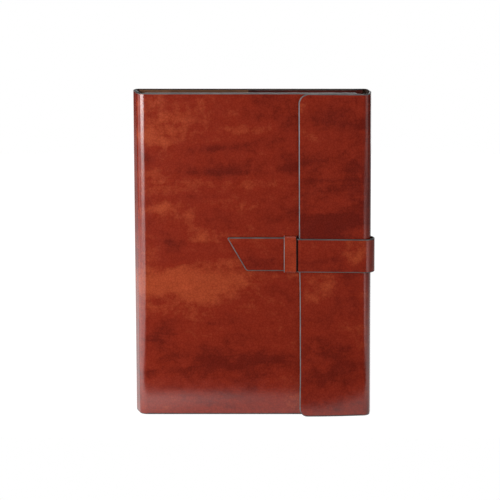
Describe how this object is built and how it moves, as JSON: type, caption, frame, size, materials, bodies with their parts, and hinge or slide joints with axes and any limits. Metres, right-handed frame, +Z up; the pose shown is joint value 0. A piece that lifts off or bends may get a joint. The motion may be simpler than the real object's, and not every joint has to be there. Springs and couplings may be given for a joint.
{
  "type": "document portfolio",
  "caption": "Leather document portfolio with stiff covers, fore-edge flap, strap closure through a keeper, inner pockets and a side-bound writing pad.",
  "frame": {"origin": "on the surface that it stands on, under the middle of its outline in plan", "axes": "+X towards the fore-edge and strap, +Y towards the back cover, +Z up along the height"},
  "size_m": [0.2476, 0.0336, 0.341],
  "materials": {
    "cover_leather": "burnished red-brown leather with a mottled polish and dark grey painted edges",
    "strap_leather": "burnished red-brown strap leather with dark grey painted edges",
    "keeper_leather": "burnished leather, a little lighter than the cover",
    "pocket_leather": "smooth dark red pocket leather, stitched",
    "suede": "brown napped lining",
    "board": "grey board",
    "paper": "white writing paper",
    "tape": "dark binding tape"
  },
  "bodies": {
    "back": {"back_skin": "cover_leather", "back_board": "board", "back_lining": "suede", "pad_pocket": "pocket_leather", "strap_anchor": "strap_leather", "spine_back_fold": "cover_leather", "edge_back_fold": "cover_leather", "strap_back_bend": "strap_leather"},
    "spine": {"spine_skin": "cover_leather", "spine_board": "board", "spine_lining": "suede", "spine_front_fold": "cover_leather"},
    "front": {"front_skin": "cover_leather", "front_board": "board", "front_lining": "suede", "keeper": "keeper_leather", "document_pocket": "pocket_leather", "card_slot_upper": "pocket_leather", "card_slot_lower": "pocket_leather"},
    "gusset": {"gusset_skin": "cover_leather", "gusset_lining": "suede", "strap_side": "strap_leather", "edge_front_fold": "cover_leather", "strap_corner_bend": "strap_leather"},
    "flap": {"flap_skin": "cover_leather", "flap_lining": "suede", "strap_front_bend": "strap_leather"},
    "strap": {"strap_face": "strap_leather", "strap_backing": "strap_leather"},
    "pad": {"pad_backing": "board", "pad_sheets": "paper", "pad_binding": "tape"}
  },
  "joints": [
    {"name": "spine_back_hinge", "type": "hinge", "parent": "back", "child": "spine", "pos_m": [-0.12279, 0.01291, 0.1705], "axis": [0, 0, -1], "range_deg": [0, 106.7], "deforming": ["spine_back_fold"]},
    {"name": "spine_front_hinge", "type": "hinge", "parent": "spine", "child": "front", "pos_m": [-0.11703, -0.00792, 0.1705], "axis": [0, 0, -1], "range_deg": [0, 73.2], "deforming": ["spine_front_fold"]},
    {"name": "edge_back_hinge", "type": "hinge", "parent": "back", "child": "gusset", "pos_m": [0.11562, 0.01355, 0.1705], "axis": [0, 0, 1], "range_deg": [0, 84.3], "deforming": ["edge_back_fold", "strap_back_bend"]},
    {"name": "flap_hinge", "type": "hinge", "parent": "gusset", "child": "flap", "pos_m": [0.11788, -0.01303, 0.1705], "axis": [0, 0, 1], "range_deg": [0, 97.8], "deforming": ["edge_front_fold", "strap_corner_bend"]},
    {"name": "strap_hinge", "type": "hinge", "parent": "flap", "child": "strap", "pos_m": [0.11754, -0.01535, 0.1705], "axis": [0, 0, 1], "range_deg": [0, 110], "deforming": ["strap_front_bend"]},
    {"name": "pad_slide", "type": "slide", "parent": "back", "child": "pad", "axis": [0, 0, 1], "range_m": [0, 0.31]}
  ]
}
